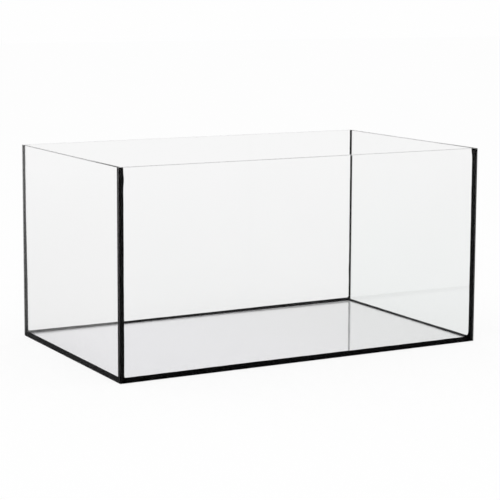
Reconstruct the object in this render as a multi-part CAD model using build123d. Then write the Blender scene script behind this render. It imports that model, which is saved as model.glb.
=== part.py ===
from build123d import *
import os

# A frameless glass aquarium, open at the top, glued from five panes with black silicone.
# Millimetres, +Z up, +X along the width, the front pane at -Y.
# The origin is at the centre of the footprint, on the surface that the tank stands on.

# Outside size of the tank
tank_width = 600.0
tank_depth = 360.0
tank_height = 300.0

# Float glass, and the flat that is ground along each pane's edges
wall_glass = 5.0
base_glass = 5.0
edge_arris = 0.5

# Silicone joints, from glass to glass, and how far they stop short of the rim and the ground
corner_gap = 1.5
base_gap = 1.5
joint_recess = 0.3

# Inner seal beads: the leg that each has on the wall, the lap past the joint onto the other pane,
# and the hollow that the finger leaves in the bead's face
front_seal_leg = 2.8
rear_left_seal_leg = 2.2
rear_right_seal_leg = 1.2
front_base_seal_leg = 2.8
rear_base_seal_leg = 3.6
left_base_seal_leg = 3.2
right_base_seal_leg = 2.2
seal_lap = 1.0
seal_hollow = 0.3

# Faces that the pieces share
outer_x = tank_width / 2
outer_y = tank_depth / 2
inner_x = outer_x - wall_glass
inner_y = outer_y - wall_glass
side_end_y = inner_y - corner_gap
corner_seal_foot = corner_gap + edge_arris + seal_lap
base_seal_foot = base_gap + edge_arris + seal_lap
joint_top = tank_height - joint_recess

LEFT, RIGHT = -1, 1
FRONT, REAR = -1, 1


def pane(width, depth, height, x, y):
    """A pane standing on the ground at x, y, with an arris along all its edges."""
    blank = Pos(x, y, height / 2) * Box(width, depth, height)
    return chamfer(blank.edges(), edge_arris)


def long_wall(end):
    """The front or rear pane, over the full width of the tank."""
    return pane(tank_width, wall_glass, tank_height, 0, end * (outer_y - wall_glass / 2))


def side_wall(side):
    """The left or right pane, standing between the front and rear panes."""
    return pane(wall_glass, 2 * side_end_y, tank_height, side * (outer_x - wall_glass / 2), 0)


def floor_pane():
    """The bottom pane, lying inside the four walls."""
    return pane(2 * (inner_x - base_gap), 2 * (inner_y - base_gap), base_glass, 0, 0)


def upright(outline, side, end, bottom, top):
    """An upright bar: an outline drawn for the rear right corner, put in another corner."""
    placed = mirrored(outline, side, end)
    return extrude(Pos(0, 0, bottom) * placed, amount=top - bottom, dir=(0, 0, 1))


def mirrored(outline, side, end):
    """An outline at the rear right corner, mirrored to the given side and end."""
    if side == LEFT:
        outline = mirror(outline, about=Plane.YZ)
    if end == FRONT:
        outline = mirror(outline, about=Plane.XZ)
    return outline


def corner_joint(side, end):
    """The joint from a side pane's end to the long wall, filling the arrises of both panes."""
    outline = Polygon(
        (outer_x, inner_y + edge_arris),
        (outer_x - edge_arris, inner_y),
        (inner_x, inner_y),
        (inner_x, side_end_y - edge_arris),
        (inner_x + edge_arris, side_end_y),
        (outer_x - edge_arris, side_end_y),
        (outer_x, side_end_y - edge_arris),
        align=None,
    )
    return upright(outline, side, end, joint_recess, joint_top)


def bead_outline(corner, leg_end, foot_end):
    """A bead's section: two legs from a corner, and a hollow face between their ends."""
    chord = foot_end - leg_end
    across = Vector(-chord.Y, chord.X).normalized()
    middle = (leg_end + foot_end) / 2
    inward = across if across.dot(corner - middle) > 0 else -across
    deepest = middle + inward * seal_hollow
    edges = [
        Line(corner, leg_end),
        ThreePointArc(leg_end, deepest, foot_end),
        Line(foot_end, corner),
    ]
    return make_face(edges)


def corner_seal(side, end, leg, floor_beads):
    """An upright inner bead, standing on the beads round the floor."""
    corner = Vector(inner_x, inner_y)
    leg_end = Vector(inner_x - leg, inner_y)
    foot_end = Vector(inner_x, inner_y - corner_seal_foot)
    bead = upright(bead_outline(corner, leg_end, foot_end), side, end, base_glass, joint_top)
    for floor_bead in floor_beads:
        bead = bead - floor_bead
    return bead


def mitre_block(along, side):
    """A block along one wall whose ends are cut at 45 degrees in the tank's inner corners."""
    length, reach = (inner_x, inner_y) if along == "x" else (inner_y, inner_x)
    inset = 2 * base_seal_foot
    outline = Polygon(
        (-length, reach),
        (length, reach),
        (length - inset, reach - inset),
        (-length + inset, reach - inset),
        align=None,
    )
    if along == "x":
        placed = mirrored(outline, RIGHT, side)
    else:
        placed = mirrored(Rot(0, 0, -90) * outline, side, REAR)
    return extrude(placed, amount=tank_height, dir=(0, 0, 1))


def base_joint(along, side, floor):
    """The joint along one edge of the bottom pane, filling the gap and the pane's arrises."""
    height = base_glass - joint_recess
    fill = Pos(0, 0, joint_recess + height / 2) * Box(2 * inner_x, 2 * inner_y, height)
    return (fill & mitre_block(along, side)) - floor


def base_seal(along, side, leg):
    """The inner bead along one wall, lying on the bottom pane and the joint."""
    reach, length = (inner_y, inner_x) if along == "x" else (inner_x, inner_y)
    corner = Vector(reach, base_glass)
    leg_end = Vector(reach, base_glass + leg)
    foot_end = Vector(reach - base_seal_foot, base_glass)
    section = bead_outline(corner, leg_end, foot_end)
    upright_section = Rot(90, 0, 0) * section
    rod = extrude(upright_section, amount=length, both=True, dir=(0, 1, 0))
    if along == "x":
        rod = Rot(0, 0, 90) * rod
        rod = mirror(rod, about=Plane.XZ) if side == FRONT else rod
    elif side == LEFT:
        rod = mirror(rod, about=Plane.YZ)
    return rod & mitre_block(along, side)


def main():
    floor = floor_pane()
    base_runs = {
        "front": ("x", FRONT, front_base_seal_leg),
        "rear": ("x", REAR, rear_base_seal_leg),
        "left": ("y", LEFT, left_base_seal_leg),
        "right": ("y", RIGHT, right_base_seal_leg),
    }
    floor_beads = {name: base_seal(*run) for name, run in base_runs.items()}
    parts = {
        "bottom_pane": floor,
        "front_pane": long_wall(FRONT),
        "rear_pane": long_wall(REAR),
        "left_pane": side_wall(LEFT),
        "right_pane": side_wall(RIGHT),
    }
    for end_name, end, side_name, side, leg in (
        ("front", FRONT, "left", LEFT, front_seal_leg),
        ("front", FRONT, "right", RIGHT, front_seal_leg),
        ("rear", REAR, "left", LEFT, rear_left_seal_leg),
        ("rear", REAR, "right", RIGHT, rear_right_seal_leg),
    ):
        beads = (floor_beads[end_name], floor_beads[side_name])
        parts[f"{end_name}_{side_name}_joint"] = corner_joint(side, end)
        parts[f"{end_name}_{side_name}_seal"] = corner_seal(side, end, leg, beads)
    for name, (along, side, leg) in base_runs.items():
        parts[f"{name}_base_joint"] = base_joint(along, side, floor)
        parts[f"{name}_base_seal"] = floor_beads[name]
    os.makedirs("parts", exist_ok=True)
    for node, shape in parts.items():
        export_step(shape, f"parts/{node}.step")


main()
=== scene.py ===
import math
from collections import namedtuple

import bpy
import numpy as np
from mathutils import Matrix, Vector


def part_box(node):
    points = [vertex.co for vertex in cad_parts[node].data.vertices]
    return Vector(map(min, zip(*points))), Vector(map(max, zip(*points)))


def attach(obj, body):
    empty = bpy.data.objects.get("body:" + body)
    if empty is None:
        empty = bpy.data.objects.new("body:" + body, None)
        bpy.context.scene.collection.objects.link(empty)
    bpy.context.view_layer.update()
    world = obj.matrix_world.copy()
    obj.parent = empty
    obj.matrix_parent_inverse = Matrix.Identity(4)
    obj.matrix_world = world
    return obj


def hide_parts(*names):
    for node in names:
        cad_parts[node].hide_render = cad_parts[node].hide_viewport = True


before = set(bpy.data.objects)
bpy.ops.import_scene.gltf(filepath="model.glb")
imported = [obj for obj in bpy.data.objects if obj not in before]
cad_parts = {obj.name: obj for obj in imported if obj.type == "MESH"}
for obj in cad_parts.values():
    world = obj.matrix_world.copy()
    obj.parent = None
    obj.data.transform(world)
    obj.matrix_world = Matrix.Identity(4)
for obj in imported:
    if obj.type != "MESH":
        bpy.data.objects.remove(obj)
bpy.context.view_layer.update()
root = "root"
mm = 0.001

# Faces of the panes, read from the frame, in metres
front_low, front_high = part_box("front_pane")
_, left_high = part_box("left_pane")
_, floor_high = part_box("bottom_pane")
joint_low, joint_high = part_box("rear_right_joint")
outer_x = front_high.x
inner_x = -left_high.x
outer_y = -front_low.y
inner_y = -front_high.y
side_end_y = left_high.y
floor_edge_x = floor_high.x
floor_edge_y = floor_high.y
floor_top = floor_high.z
rim = front_high.z
arris = joint_high.y - inner_y
joint_bottom = joint_low.z
joint_top = joint_high.z

# How deep the silicone is set into the glass, so that light in the glass meets it with no air between
bond = 0.03 * mm

LEFT, RIGHT, FRONT, REAR = -1, 1, -1, 1
side_names = {LEFT: "left", RIGHT: "right"}
end_names = {FRONT: "front", REAR: "rear"}

# Legs of the upright beads on the long walls, and their feet on the side panes, then legs of the beads
# round the floor on the walls, and their feet on the bottom pane
corner_leg = {
    (FRONT, LEFT): 2.8 * mm,
    (FRONT, RIGHT): 3.2 * mm,
    (REAR, LEFT): 1.6 * mm,
    (REAR, RIGHT): 0.8 * mm,
}
corner_foot = 3.0 * mm
base_leg = 2.5 * mm
base_foot = 3.0 * mm
# Swells of the beads round the floor: place along the wall, spread, and how much higher the leg gets
swells = {
    "front": [(-60 * mm, 160 * mm, 0.5 * mm)],
    "rear": [(290 * mm, 300 * mm, 1.9 * mm), (-290 * mm, 130 * mm, 0.7 * mm)],
    "left": [(80 * mm, 400 * mm, 1.0 * mm)],
    "right": [(0, 110 * mm, -0.3 * mm)],
}

bpy.context.scene.view_settings.view_transform = "Standard"


# Camera

image_side = 500
focal_pixels = 1655.4
principal_row = 200
sensor_mm = 36
farthest_seen = 200
camera_place = Vector((-1.22267, -2.21319, 0.54813))
camera_azimuth = math.radians(28.968)
camera_pitch = math.radians(7.461)
camera_roll = math.radians(0.259)


def make_camera():
    """The photograph's view from the front left, with a long lens shifted down a little."""
    forward = Vector((
        math.sin(camera_azimuth) * math.cos(camera_pitch),
        math.cos(camera_azimuth) * math.cos(camera_pitch),
        -math.sin(camera_pitch),
    ))
    level = Vector((math.cos(camera_azimuth), -math.sin(camera_azimuth), 0))
    above = level.cross(forward)
    right = level * math.cos(camera_roll) + above * math.sin(camera_roll)
    up = above * math.cos(camera_roll) - level * math.sin(camera_roll)
    data = bpy.data.cameras.new("camera")
    data.sensor_width = sensor_mm
    data.lens = focal_pixels / image_side * sensor_mm
    data.shift_y = (principal_row - image_side / 2) / image_side
    data.clip_end = farthest_seen
    camera = bpy.data.objects.new("camera", data)
    bpy.context.scene.collection.objects.link(camera)
    turn = Matrix((right, up, -forward)).transposed()
    camera.matrix_world = Matrix.Translation(camera_place) @ turn.to_4x4()
    bpy.context.scene.camera = camera


make_camera()


# Shader nodes

def connect(tree, socket, value):
    """Links the socket if the value is another node's output, and sets it otherwise."""
    if isinstance(value, bpy.types.NodeSocket):
        tree.links.new(value, socket)
    else:
        socket.default_value = value


def add(tree, kind, **inputs):
    """A node of one kind. Each keyword is a property of it, or the name of one of its sockets."""
    node = tree.nodes.new("ShaderNode" + kind)
    for key, value in inputs.items():
        if key in node.bl_rna.properties:
            setattr(node, key, value)
        else:
            connect(tree, node.inputs[key.replace("_", " ")], value)
    return node


def number(tree, operation, *values):
    """A Math node's result. Its values are sockets or plain numbers."""
    node = add(tree, "Math", operation=operation)
    for socket, value in zip(node.inputs, values):
        connect(tree, socket, value)
    return node.outputs[0]


def between(tree, value, low, high, to_low=0.0, to_high=1.0, easing="SMOOTHSTEP"):
    """The value carried from the range low to high onto to_low to to_high, and held at both ends."""
    node = add(tree, "MapRange", interpolation_type=easing, Value=value)
    limits = {"From Min": low, "From Max": high, "To Min": to_low, "To Max": to_high}
    for name, limit in limits.items():
        node.inputs[name].default_value = limit
    return node.outputs["Result"]


def noise(tree, place, scale, detail=3.0, roughness=0.55):
    """The value of a cloudy pattern, which keeps near a half."""
    node = add(tree, "TexNoise", Vector=place, Scale=scale, Detail=detail, Roughness=roughness)
    return node.outputs["Fac"]


def blended(tree, factor, first, second):
    """A number between first and second, which are plain numbers."""
    return number(tree, "MULTIPLY_ADD", factor, second - first, first)


def mixed(tree, factor, first, second):
    """A colour between first and second, which are sockets or colours."""
    node = add(tree, "Mix", data_type="RGBA")
    for socket, value in ((node.inputs[0], factor), (node.inputs[6], first), (node.inputs[7], second)):
        connect(tree, socket, value)
    return node.outputs[2]


def stretched(tree, place, scale, turn=(0, 0, 0)):
    """Coordinates turned and stretched, for a pattern that is drawn out in one direction."""
    node = add(tree, "Mapping", Vector=place)
    node.inputs["Rotation"].default_value = turn
    node.inputs["Scale"].default_value = scale
    return node.outputs[0]


def new_group(name, inputs, outputs):
    """An empty node group with named sockets, and the sockets of its two end nodes."""
    group = bpy.data.node_groups.new(name, "ShaderNodeTree")
    for socket_name, kind in inputs:
        group.interface.new_socket(socket_name, in_out="INPUT", socket_type="NodeSocket" + kind)
    for socket_name, kind in outputs:
        group.interface.new_socket(socket_name, in_out="OUTPUT", socket_type="NodeSocket" + kind)
    return group, group.nodes.new("NodeGroupInput").outputs, group.nodes.new("NodeGroupOutput").inputs


def use_group(tree, group, **inputs):
    """The outputs of a group placed in the tree with its own inputs."""
    node = tree.nodes.new("ShaderNodeGroup")
    node.node_tree = group
    for key, value in inputs.items():
        connect(tree, node.inputs[key], value)
    return node.outputs


def new_material(name):
    """A material without nodes, and its node tree."""
    material = bpy.data.materials.new(name)
    material.use_nodes = True
    material.node_tree.nodes.clear()
    return material, material.node_tree


def shows_surroundings(tree):
    """1 for a ray that shows the surroundings: from the camera, off a glossy face or through glass."""
    path = add(tree, "LightPath").outputs
    direct = number(tree, "MAXIMUM", path["Is Camera Ray"], path["Is Glossy Ray"])
    return number(tree, "MAXIMUM", direct, path["Is Transmission Ray"])


# Studio

white = (1, 1, 1, 1)
matt_white = (0.99, 0.99, 0.99, 1)
backdrop_white = (0.992, 0.992, 0.992, 1)
room_light = 0.9
table_half = 12.0
table_drop = 0.2 * mm
table_brightness_share = 0.85
# Painted shade on the table, which only glossy rays see: what they mirror of the table lacks some of
# its brightness, this share at the tank and none of it at this distance. There is a narrow band close
# to the tank and a wide one round it.
band_dimming, band_width = 0.26, 0.1
field_dimming, field_width = 0.70, 2.2


def make_world():
    """Even white light from all round, and the white backdrop that the camera and the glass see."""
    world = bpy.data.worlds.new("studio")
    bpy.context.scene.world = world
    world.use_nodes = True
    tree = world.node_tree
    tree.nodes.clear()
    lighting = add(tree, "Background", Color=white, Strength=room_light)
    backdrop = add(tree, "Background", Color=backdrop_white, Strength=1.0)
    mix = add(tree, "MixShader", Fac=shows_surroundings(tree))
    tree.links.new(lighting.outputs[0], mix.inputs[1])
    tree.links.new(backdrop.outputs[0], mix.inputs[2])
    tree.links.new(mix.outputs[0], add(tree, "OutputWorld").inputs["Surface"])


def make_table():
    """A wide white table top, a hair below the glass, that keeps a trace of the tank's soft shadow.
    What glossy faces mirror of it carries painted shade close to the tank."""
    signs = ((-1, -1), (1, -1), (1, 1), (-1, 1))
    corners = [(x * table_half, y * table_half, -table_drop) for x, y in signs]
    mesh = bpy.data.meshes.new("table")
    mesh.from_pydata(corners, [], [(0, 1, 2, 3)])
    table = bpy.data.objects.new("table", mesh)
    bpy.context.scene.collection.objects.link(table)
    material, tree = new_material("table_white")
    x, y, _ = add(tree, "SeparateXYZ", Vector=add(tree, "TexCoord").outputs["Object"]).outputs
    beside = number(tree, "SUBTRACT", number(tree, "ABSOLUTE", x), outer_x)
    before = number(tree, "SUBTRACT", number(tree, "ABSOLUTE", y), outer_y)
    away = number(tree, "MAXIMUM", beside, before)
    # Painted shade near the tank, seen only in what glossy faces mirror of the table
    close = between(tree, away, 0.0, band_width, band_dimming, 0.0)
    around = between(tree, away, 0.0, field_width, field_dimming, 0.0, "LINEAR")
    painted_shade_near_tank = number(tree, "ADD", close, around)
    path = add(tree, "LightPath").outputs
    mirrored = number(tree, "GREATER_THAN", path["Is Glossy Ray"], path["Is Transmission Ray"])
    painted_shade_in_reflections = number(tree, "MULTIPLY", mirrored, painted_shade_near_tank)
    shaded = add(tree, "BsdfDiffuse", Color=matt_white)
    bright = add(tree, "Emission", Color=white, Strength=number(tree, "SUBTRACT", 1.0, painted_shade_in_reflections))
    share = number(tree, "MULTIPLY", shows_surroundings(tree), table_brightness_share)
    mix = add(tree, "MixShader", Fac=share)
    tree.links.new(shaded.outputs[0], mix.inputs[1])
    tree.links.new(bright.outputs[0], mix.inputs[2])
    tree.links.new(mix.outputs[0], add(tree, "OutputMaterial").inputs["Surface"])
    mesh.materials.append(material)


def make_softbox(name, place, aim, size, power):
    """A round soft lamp of a given diameter, turned toward its aim."""
    data = bpy.data.lights.new(name, "AREA")
    data.shape = "DISK"
    data.size = size
    data.energy = power
    lamp = bpy.data.objects.new(name, data)
    bpy.context.scene.collection.objects.link(lamp)
    lamp.location = place
    lamp.rotation_euler = (Vector(aim) - Vector(place)).to_track_quat("-Z", "Y").to_euler()


make_world()
make_table()
make_softbox("overhead_softbox", place=(-0.7, -0.5, 2.4), aim=(0, 0, 0.1), size=1.5, power=6)


# Glass

# Depths under a pane's face at which its ground flats and its end faces begin, with a hair to spare
flat_start = 0.02 * mm
end_start = arris * 1.02
# Where in the tank's depth the rims have gone over from their painted shade at the front to their
# finish at the back
back_start = -0.1 * outer_y


def make_ground_edge_group():
    """Masks for a pane's ground edges, from how deep a point lies under the nearer of its two faces:
    nothing on the faces, less than a flat's width on the flats, and more on the ends."""
    places = [("Place", "Vector"), ("Middle", "Vector"), ("Across", "Vector")]
    sizes = [("Half", "Float"), ("Width", "Float")]
    masks = [("Flat", "Float"), ("End", "Float")]
    group, given, result = new_group("ground_edge", places + sizes, masks)
    offset = add(group, "VectorMath", operation="SUBTRACT")
    group.links.new(given["Place"], offset.inputs[0])
    group.links.new(given["Middle"], offset.inputs[1])
    along = add(group, "VectorMath", operation="DOT_PRODUCT")
    group.links.new(offset.outputs[0], along.inputs[0])
    group.links.new(given["Across"], along.inputs[1])
    away = number(group, "ABSOLUTE", along.outputs["Value"])
    depth = number(group, "SUBTRACT", given["Half"], away)
    end = number(group, "GREATER_THAN", depth, given["Width"])
    edge = number(group, "GREATER_THAN", depth, flat_start)
    group.links.new(end, result["End"])
    group.links.new(number(group, "SUBTRACT", edge, end), result["Flat"])
    return group


def make_painted_glass_shade_group():
    """Painted shade over a pane, with a few wiped smears. The shade falls off from 1 where Level is 0
    to nothing where Level is 1, slowly at first, and is cloudy. The smears only roughen the glass."""
    inputs = [("Place", "Vector"), ("Level", "Float")]
    group, given, result = new_group("painted_glass_shade", inputs, [("Painted_shade", "Float"), ("Smear", "Float")])
    settled = number(group, "SUBTRACT", 1.0, number(group, "POWER", given["Level"], 1.6))
    clouds = number(group, "SUBTRACT", noise(group, given["Place"], 7.0, detail=2.0), 0.5)
    cloudy = number(group, "MULTIPLY", clouds, 0.3)
    slant = stretched(group, given["Place"], (1.0, 1.0, 0.25), turn=(0.3, 0.5, 0.4))
    wipes = noise(group, slant, 28.0, detail=5.0, roughness=0.62)
    group.links.new(number(group, "ADD", settled, cloudy), result["Painted_shade"])
    group.links.new(between(group, wipes, 0.56, 0.74), result["Smear"])
    return group


ground_edge = make_ground_edge_group()
painted_glass_shade = make_painted_glass_shade_group()


# A rim's finish: how bright its ground flats are in and between their scratches, and how rough, then
# how bright, rough and glossy its end faces are. The darker rims carry painted shade: the front pane's
# rim all along, and the side panes' rims at the tank's front.
Rim = namedtuple("Rim", "flat_dark flat_light flat_rough end end_rough gloss")
# The first two rims are darker, as painted shade
half_shaded_rim = Rim(0.45, 0.95, 0.35, 0.82, 0.12, 0.0)
dark_shaded_rim = Rim(0.20, 0.50, 0.50, 0.35, 0.60, 0.0)
polished = Rim(0.90, 0.95, 0.60, 0.98, 0.0, 1.0)
hidden = Rim(0.70, 0.95, 0.60, 0.82, 0.12, 0.0)


def edge_glass(brightness):
    """The faint green of glass at its edges."""
    return (brightness, brightness + 0.008, brightness + 0.004, 1)


def glass_material(node, clear, tint_at_level_zero, front_rim, rear_rim):
    """Clear float glass for one pane, tinted with painted shade: its tint is clear where the level is
    1 and its second tint where the level is 0. The level rises up a wall, and across the bottom pane
    from its left end. Its rim goes over from front_rim at the tank's front to rear_rim a little before
    mid depth."""
    low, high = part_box(node)
    size = high - low
    thin = min(range(3), key=lambda axis: size[axis])
    across = tuple(float(axis == thin) for axis in range(3))
    material, tree = new_material(node.replace("_pane", "_glass"))
    place = add(tree, "TexCoord").outputs["Object"]
    edge = use_group(
        tree, ground_edge, Place=place, Middle=tuple((low + high) / 2), Across=across,
        Half=size[thin] / 2, Width=end_start,
    )
    x, y, z = add(tree, "SeparateXYZ", Vector=place).outputs
    if thin == 2:
        level = between(tree, x, -outer_x, outer_x)
    else:
        level = between(tree, z, 0.0, rim, easing="LINEAR")
    # Painted shade: the pane's tint goes from its second tint to clear as the level rises
    shade_and_smear = use_group(tree, painted_glass_shade, Place=place, Level=level)
    body = mixed(tree, shade_and_smear["Painted_shade"], (*clear, 1), (*tint_at_level_zero, 1))
    # Painted shade on the side panes' rims, darker toward the tank's front
    back = between(tree, y, -outer_y, back_start)
    dark, light, end = (
        mixed(tree, back, edge_glass(getattr(front_rim, part)), edge_glass(getattr(rear_rim, part)))
        for part in ("flat_dark", "flat_light", "end")
    )
    flat_rough, end_rough, gloss = (
        blended(tree, back, getattr(front_rim, part), getattr(rear_rim, part))
        for part in ("flat_rough", "end_rough", "gloss")
    )
    grit = noise(tree, place, 2200.0, detail=2.0, roughness=0.7)
    with_ends = mixed(tree, edge["End"], body, end)
    smeared = number(tree, "MULTIPLY", shade_and_smear["Smear"], 0.012)
    flats = number(tree, "MULTIPLY", edge["Flat"], flat_rough)
    rough = number(tree, "MULTIPLY_ADD", edge["End"], end_rough, flats)
    scratches = number(tree, "MULTIPLY", grit, edge["Flat"])
    bump = add(tree, "Bump", Strength=0.35, Distance=0.05 * mm, Height=scratches)
    shader = add(
        tree, "BsdfPrincipled", Transmission_Weight=1.0, IOR=1.52, Specular_Tint=(0.08, 0.08, 0.08, 1),
        Base_Color=mixed(tree, edge["Flat"], with_ends, mixed(tree, grit, dark, light)),
        Roughness=number(tree, "MAXIMUM", smeared, rough), Normal=bump.outputs[0],
        Coat_Weight=number(tree, "MULTIPLY", edge["End"], gloss), Coat_Roughness=0.08,
    )
    tree.links.new(shader.outputs[0], add(tree, "OutputMaterial").inputs["Surface"])
    return material


# Each pane's tint where the level is 1 and where it is 0, and its rim at the tank's front and back.
# The tints are painted shade, set to how bright each pane looks in this light: darker toward the foot
# of the front pane, darker on the rear and right panes, and darkest on the bottom pane for the shade
# under the tank, less so toward its left end.
glass_finishes = {
    "front_pane": ((0.994, 0.994, 0.994), (0.929, 0.933, 0.932), half_shaded_rim, half_shaded_rim),
    "rear_pane": ((0.942, 0.942, 0.942), (0.943, 0.944, 0.944), polished, polished),
    "left_pane": ((0.985, 0.985, 0.985), (0.988, 0.988, 0.988), dark_shaded_rim, polished),
    "right_pane": ((0.933, 0.932, 0.932), (0.930, 0.944, 0.939), dark_shaded_rim, polished),
    "bottom_pane": ((0.840, 0.838, 0.843), (0.887, 0.880, 0.906), hidden, hidden),
}
for pane, finish in glass_finishes.items():
    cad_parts[pane].data.materials.clear()
    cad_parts[pane].data.materials.append(glass_material(pane, *finish))


# Silicone

bubble_grey = (0.07, 0.07, 0.072, 1)
dust_grey = (0.10, 0.098, 0.094, 1)


def make_mottle_group():
    """Uneven wetting, seen where silicone lies on glass: soft patches drawn out in streaks, and tiny
    bubbles."""
    inputs = [("Place", "Vector"), ("Lay", "Vector")]
    group, given, result = new_group("mottle", inputs, [("Patch", "Float"), ("Bubble", "Float")])
    patches = noise(group, given["Place"], 190.0, detail=4.0, roughness=0.6)
    drawn = stretched(group, given["Lay"], (60.0, 900.0, 1.0))
    streaks = noise(group, drawn, 1.0, detail=3.0, roughness=0.6)
    patches = number(group, "MULTIPLY", patches, 0.65)
    both = number(group, "ADD", patches, number(group, "MULTIPLY", streaks, 0.35))
    group.links.new(between(group, both, 0.40, 0.68), result["Patch"])
    cells = add(group, "TexVoronoi", Vector=given["Place"], Scale=420.0)
    dots = between(group, cells.outputs["Distance"], 0.10, 0.16, 1.0, 0.0)
    sparse = between(group, noise(group, given["Place"], 150.0, detail=1.0), 0.60, 0.64)
    group.links.new(number(group, "MULTIPLY", dots, sparse), result["Bubble"])
    return group


def make_tooling_group():
    """What a finger leaves on a wet bead: fine lines along it and low ripples across it, a sheen that
    changes in soft patches, and settled dust."""
    inputs = [("Place", "Vector"), ("Lay", "Vector")]
    outputs = [("Height", "Float"), ("Sheen", "Float"), ("Dust", "Float")]
    group, given, result = new_group("tooling", inputs, outputs)
    fine = stretched(group, given["Lay"], (25.0, 2600.0, 1.0))
    broad = stretched(group, given["Lay"], (160.0, 90.0, 1.0))
    lines = number(group, "MULTIPLY", noise(group, fine, 1.0, detail=2.0, roughness=0.5), 0.35)
    ripples = number(group, "MULTIPLY", noise(group, broad, 1.0, detail=2.0, roughness=0.5), 0.65)
    specks = noise(group, given["Place"], 1500.0, detail=2.0, roughness=0.6)
    group.links.new(number(group, "ADD", lines, ripples), result["Height"])
    group.links.new(noise(group, given["Place"], 85.0), result["Sheen"])
    group.links.new(between(group, specks, 0.66, 0.74), result["Dust"])
    return group


mottle = make_mottle_group()
tooling = make_tooling_group()


def bonded_silicone(name, deep, pale):
    """Silicone as seen through the glass that it is bonded to. deep and pale are its colours where it
    is thick and in its thin patches."""
    material, tree = new_material(name)
    coordinates = add(tree, "TexCoord").outputs
    spots = use_group(tree, mottle, Place=coordinates["Object"], Lay=coordinates["UV"])
    patched = mixed(tree, spots["Patch"], (*deep, 1), (*pale, 1))
    shader = add(
        tree, "BsdfPrincipled", Specular_IOR_Level=0.0,
        Base_Color=mixed(tree, spots["Bubble"], patched, bubble_grey),
        Roughness=between(tree, spots["Patch"], 0.0, 1.0, 0.55, 0.75, "LINEAR"),
    )
    tree.links.new(shader.outputs[0], add(tree, "OutputMaterial").inputs["Surface"])
    return material


def open_silicone(name, tone):
    """Cured black silicone in the open air, with its soft gloss."""
    material, tree = new_material(name)
    coordinates = add(tree, "TexCoord").outputs
    made = use_group(tree, tooling, Place=coordinates["Object"], Lay=coordinates["UV"])
    dark, light = tuple(0.8 * c for c in tone), tuple(1.25 * c for c in tone)
    toned = mixed(tree, made["Sheen"], (*dark, 1), (*light, 1))
    dusty = mixed(tree, number(tree, "MULTIPLY", made["Dust"], 0.35), toned, dust_grey)
    gloss = between(tree, made["Sheen"], 0.3, 0.7, 0.38, 0.52, "LINEAR")
    finish = number(tree, "ADD", gloss, number(tree, "MULTIPLY", made["Dust"], 0.3))
    bump = add(tree, "Bump", Strength=0.5, Distance=0.12 * mm, Height=made["Height"])
    shader = add(
        tree, "BsdfPrincipled", Base_Color=dusty, Roughness=finish, Specular_IOR_Level=0.12,
        Normal=bump.outputs[0],
    )
    tree.links.new(shader.outputs[0], add(tree, "OutputMaterial").inputs["Surface"])
    return material


skin = open_silicone("silicone_open", tone=(0.007, 0.007, 0.0073))
upright = bonded_silicone(
    "silicone_bonded_upright", deep=(0.0075, 0.0075, 0.0077), pale=(0.0155, 0.0155, 0.016),
)
tight = bonded_silicone(
    "silicone_bonded_base", deep=(0.004, 0.004, 0.0041), pale=(0.010, 0.010, 0.0104),
)
patchy = bonded_silicone(
    "silicone_bonded_patchy", deep=(0.003, 0.003, 0.0032), pale=(0.022, 0.022, 0.023),
)


# Swept pieces

# The stations of a run stand close together near its ends, where its section changes
end_stretch = 15 * mm
end_step = mm / 3
step = 2 * mm
sharp_angle = math.radians(38)


def wave(along, seed, *lengths):
    """A smooth hand-made unevenness between about -1 and 1: sines of a few wavelengths, added."""
    draw = np.random.default_rng(seed)
    total = np.zeros_like(along)
    for length in lengths:
        size = draw.uniform(0.5, 1)
        start = draw.uniform(0, 2 * np.pi)
        total = total + size * np.sin(2 * np.pi * along / length + start)
    return total / len(lengths)


def rise(distance, length):
    """1 at nought and below, falling to 0 at length along a quarter circle, as a fillet does."""
    left = 1 - np.clip(distance / length, 0, 1)
    return 1 - np.sqrt(1 - left ** 2)


def hump(distance, spread):
    """1 at nought and falling off on both sides as a bell."""
    return np.exp(-(distance / spread) ** 2)


def straying(mean, swing, along, seed, *lengths):
    """A size in metres that strays about its mean along a run. mean and swing are in millimetres."""
    return (mean + swing * wave(along, seed, *lengths)) * mm


def handwork(along, seed, swing, lengths, tremor, tremor_length):
    """How far a hand-laid edge strays, in metres: a slow swing plus a quick tremor. Both are in
    millimetres, and their wavelengths in metres."""
    slow = swing * wave(along, seed, *lengths)
    quick = tremor * wave(along, seed + 1, tremor_length)
    return (slow + quick) * mm


def dished(across, edge):
    """A hollow's depth over its width: a parabola, edge at both sides and 1 in the middle."""
    return edge + 4 * (1 - edge) * across * (1 - across)


def stations(length):
    """Distances along a run: every step, and every end step within the end stretches."""
    fine = np.arange(0, end_stretch, end_step)
    count = int(round((length - 2 * end_stretch) / step)) + 1
    middle = np.linspace(end_stretch, length - end_stretch, count)
    return np.concatenate([fine, middle, length - fine[::-1]])


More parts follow.
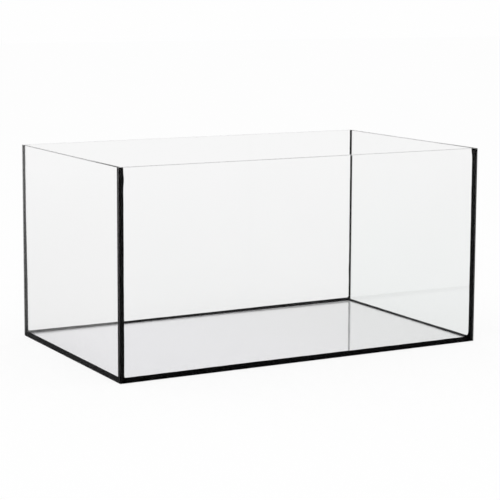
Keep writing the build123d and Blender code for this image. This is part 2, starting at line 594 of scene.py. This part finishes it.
def sweep(node, outlines, along, corner, run, first, second, on_glass, materials):
    """A closed bar. Its outline at each station has two distances, measured from the corner in the
    directions first and second, and the stations stand at the distances along in the direction run.
    on_glass is 1 for each side of the outline that lies on glass, and 0 for one in the open air. The
    surface is charted by the distance along the run and the distance round the outline."""
    corner, run, first, second = (np.asarray(v, dtype=float) for v in (corner, run, first, second))
    count, points, _ = outlines.shape
    if np.dot(np.cross(first, second), run) < 0:
        outlines = outlines[:, ::-1]
        on_glass = np.roll(on_glass[::-1], -1)
    spine = corner + along[:, None, None] * run
    place = spine + outlines[..., :1] * first + outlines[..., 1:] * second
    i = np.arange(count - 1)[:, None] * points
    j = np.arange(points)[None, :]
    beside = (j + 1) % points
    quads = np.stack([i + j, i + beside, i + points + beside, i + points + j], -1)
    ring = np.arange(points)
    caps = [ring[::-1].tolist(), ((count - 1) * points + ring).tolist()]
    name = node + "_silicone"
    mesh = bpy.data.meshes.new(name)
    mesh.from_pydata(place.reshape(-1, 3).tolist(), [], quads.reshape(-1, 4).tolist() + caps)
    spans = np.linalg.norm(np.roll(outlines, -1, axis=1) - outlines, axis=2)
    around = np.concatenate([np.zeros((count, 1)), np.cumsum(spans, axis=1)], axis=1)
    chart = np.stack([np.broadcast_to(along[:, None], around.shape), around], -1)
    lay = np.stack([chart[:-1, :-1], chart[:-1, 1:], chart[1:, 1:], chart[1:, :-1]], 2).reshape(-1, 2)
    cap_lay = np.concatenate([outlines[0, ::-1], outlines[-1]])
    layer = mesh.uv_layers.new(name="lay")
    layer.uv.foreach_set("vector", np.concatenate([lay, cap_lay]).astype(np.float32).ravel())
    sides = (count - 1) * points
    index = np.concatenate([np.tile(on_glass, count - 1), [0, 0]]).astype(np.int32)
    mesh.polygons.foreach_set("material_index", index)
    mesh.polygons.foreach_set("use_smooth", np.concatenate([np.ones(sides, bool), [False, False]]))
    for material in materials:
        mesh.materials.append(material)
    mesh.set_sharp_from_angle(angle=sharp_angle)
    mesh.update()
    piece = bpy.data.objects.new(name, mesh)
    bpy.context.scene.collection.objects.link(piece)
    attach(piece, root)
    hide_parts(node)


# Strips across a bead's open face. Two more lie on each of its two panes.
skin_steps = 10
bead_on_glass = np.array([1, 1] + [0] * skin_steps + [1, 1])


def bead(leg, foot, hollow):
    """Outlines of a tooled bead: up its leg, over the hollow face and back along its foot.
    The face is a straight line from leg end to foot end, sunk toward the corner by a parabola."""
    t = np.linspace(0, 1, skin_steps + 1)
    chord = np.hypot(leg, foot)
    sunk = hollow[:, None] * 4 * t * (1 - t)
    face_up = leg[:, None] * (1 - t) - sunk * (foot / chord)[:, None] - bond * t
    face_out = foot[:, None] * t - sunk * (leg / chord)[:, None] - bond * (1 - t)
    on_pane = np.full((len(leg), 1), -bond)
    up = np.concatenate([on_pane, leg[:, None] / 2, face_up, on_pane], axis=1)
    out = np.concatenate([on_pane, on_pane, face_out, foot[:, None] / 2], axis=1)
    return np.stack([up, out], axis=-1)


def closed_by(strips, rest):
    """Outlines of moving points, closed by points that are the same at every station."""
    fixed = np.broadcast_to(np.array(rest), (len(strips), len(rest), 2))
    return np.concatenate([strips, fixed], axis=1)


# Where the fillet between three beads reaches on the long wall: out along the floor, and up
webs = {
    (FRONT, LEFT): (2.0 * mm, 1.8 * mm),
    (FRONT, RIGHT): (10.0 * mm, 6.5 * mm),
    (REAR, LEFT): (3.5 * mm, 3.0 * mm),
    (REAR, RIGHT): (3.0 * mm, 3.0 * mm),
}
# How the fillets spread from there, as shares of those reaches: how far they climb the upright beads
# and widen their legs and feet, how much they widen the floor beads' feet, and how far along the side
# walls they run
fillet_climb = 1.4
fillet_leg = 0.6
fillet_foot = 0.5
fillet_floor_foot = 0.4
fillet_side_run = 0.7
# Blobs on the upright beads' legs: height, spread and size
blobs = {
    (FRONT, LEFT): (283 * mm, 8 * mm, 0.9 * mm),
    (FRONT, RIGHT): (300 * mm, 9 * mm, 1.6 * mm),
    (REAR, LEFT): (40 * mm, 110 * mm, 1.5 * mm),
    (REAR, RIGHT): (60 * mm, 9 * mm, 0.3 * mm),
}
# How much deeper the joint at the front right is trimmed, except in a short flare at its top
deep_trim = 0.3 * mm
flare_height = 11 * mm
# Points across the joints' open faces
trim_points = 7
under_points = 6


def make_corner_joint(side, end, seed):
    """The silicone between a side pane's end and the long wall, trimmed a little hollow outside."""
    z = stations(joint_top - joint_bottom)
    gap = inner_y - side_end_y
    thick = outer_x - inner_x
    trim = straying(0.12, 0.07, z, seed, 0.037, 0.083, 0.019)
    if (end, side) == (FRONT, RIGHT):
        trim = trim + deep_trim * (1 - hump(z[-1] - z, flare_height))
    across = np.linspace(1, 0, trim_points)
    depth = trim[:, None] * dished(across, 0.3)
    from_wall = np.broadcast_to(-arris + across * (gap + 2 * arris), depth.shape)
    outlines = closed_by(np.stack([depth, from_wall], axis=-1), [
        (arris, -bond),
        (thick + 2 * bond, -bond),
        (thick + 2 * bond, gap + arris + bond),
        (thick - arris, gap + bond),
        (arris, gap + bond),
    ])
    on_glass = np.array([0] * (trim_points - 1) + [1] * 6)
    corner = (side * outer_x, end * inner_y, joint_bottom)
    bonded = patchy if (end, side) == (REAR, LEFT) else upright
    sweep(
        f"{end_names[end]}_{side_names[side]}_joint", outlines, z, corner, (0, 0, 1), (-side, 0, 0),
        (0, -end, 0), on_glass, (skin, bonded),
    )


def make_corner_seal(side, end, seed):
    """The upright inner bead: leg on the long wall, foot on the side pane, wider at the floor."""
    z = stations(joint_top - floor_top)
    reach, up = webs[end, side]
    height, spread, size = blobs[end, side]
    leg = corner_leg[end, side] + handwork(z, seed, 0.22, (0.031, 0.067, 0.151), 0.05, 0.009)
    foot = corner_foot + handwork(z, seed + 2, 0.20, (0.043, 0.089), 0.05, 0.011)
    fillet = rise(z - base_leg, up * fillet_climb)
    leg = leg + fillet_leg * reach * fillet + size * hump(z + floor_top - height, spread)
    foot = foot + fillet_foot * up * fillet
    hollow = straying(0.34, 0.08, z, seed + 4, 0.053)
    rounded = 1 - 0.2 * rise(z[-1] - z, 1.0 * mm)
    corner = (side * inner_x, end * inner_y, floor_top)
    sweep(
        f"{end_names[end]}_{side_names[side]}_seal", bead(leg * rounded, foot * rounded, hollow), z,
        corner, (0, 0, 1), (-side, 0, 0), (0, -end, 0), bead_on_glass, (skin, upright),
    )


def wall_run(long_wall, sign, height):
    """Name, half length, corner, run and inward direction of the seam between a wall and the floor."""
    if long_wall:
        return end_names[sign], inner_x, (0, sign * inner_y, height), (1, 0, 0), (0, -sign, 0)
    return side_names[sign], inner_y, (sign * inner_x, 0, height), (0, 1, 0), (-sign, 0, 0)


def make_base_seal(long_wall, sign, seed):
    """The inner bead along one wall, on the bottom pane, rising into the fillets at its ends."""
    wall, half, corner, run, inward = wall_run(long_wall, sign, floor_top)
    at = stations(2 * half + 2 * bond) - half - bond
    leg = base_leg + handwork(at, seed, 0.18, (0.037, 0.071, 0.193), 0.05, 0.008)
    for middle, spread, size in swells[wall]:
        leg = leg + size * hump(at - middle, spread)
    foot = base_foot + handwork(at, seed + 2, 0.30, (0.047, 0.101), 0.06, 0.012)
    for far in (-1, 1):
        end, side = (sign, far) if long_wall else (far, sign)
        reach, up = webs[end, side]
        reach = reach if long_wall else fillet_side_run * reach
        upright_width = corner_leg[end, side] if long_wall else corner_foot
        fillet = rise(half - far * at - upright_width, reach)
        leg = leg + up * fillet
        foot = foot + fillet_floor_foot * up * fillet
    hollow = straying(0.36, 0.08, at, seed + 4, 0.061)
    sweep(
        f"{wall}_base_seal", bead(leg, foot, hollow), at, corner, run, (0, 0, 1), inward,
        bead_on_glass, (skin, tight),
    )


def make_base_joint(long_wall, sign, seed):
    """The silicone round the bottom pane's edge. It fills the ground flats of pane and wall,
    and its underside is drawn up a little between them."""
    wall, half, corner, run, inward = wall_run(long_wall, sign, 0)
    gap = (inner_y - floor_edge_y) if long_wall else (inner_x - floor_edge_x)
    at = stations(2 * half + 2 * bond) - half - bond
    drawn = straying(0.30, 0.15, at, seed, 0.029, 0.073, 0.017)
    across = np.linspace(0, 1, under_points)
    under = drawn[:, None] * dished(across, 0.35) + 0.05 * mm
    edge = arris - 0.1 * mm
    from_wall = np.broadcast_to(-edge + across * (gap + 2 * edge), under.shape)
    outlines = closed_by(np.stack([under, from_wall], axis=-1), [
        (arris, gap + bond),
        (floor_top - arris, gap + bond),
        (floor_top, gap + arris + bond),
        (floor_top, -bond),
        (arris, -bond),
    ])[:, ::-1]
    on_glass = np.array([1] * 5 + [0] * (under_points - 1) + [1])
    bonded = patchy if wall == "left" else tight
    sweep(
        f"{wall}_base_joint", outlines, at, corner, run, (0, 0, 1), inward, on_glass, (skin, bonded),
    )


# Each seam has seeds of its own, and its seal's come some way after its joint's
seal_seed = 10
seam_seeds = 20
seed = seam_seeds
for end in (FRONT, REAR):
    for side in (LEFT, RIGHT):
        make_corner_joint(side, end, seed)
        make_corner_seal(side, end, seed + seal_seed)
        seed += seam_seeds
for long_wall in (True, False):
    for sign in (-1, 1):
        make_base_joint(long_wall, sign, seed)
        make_base_seal(long_wall, sign, seed + seal_seed)
        seed += seam_seeds
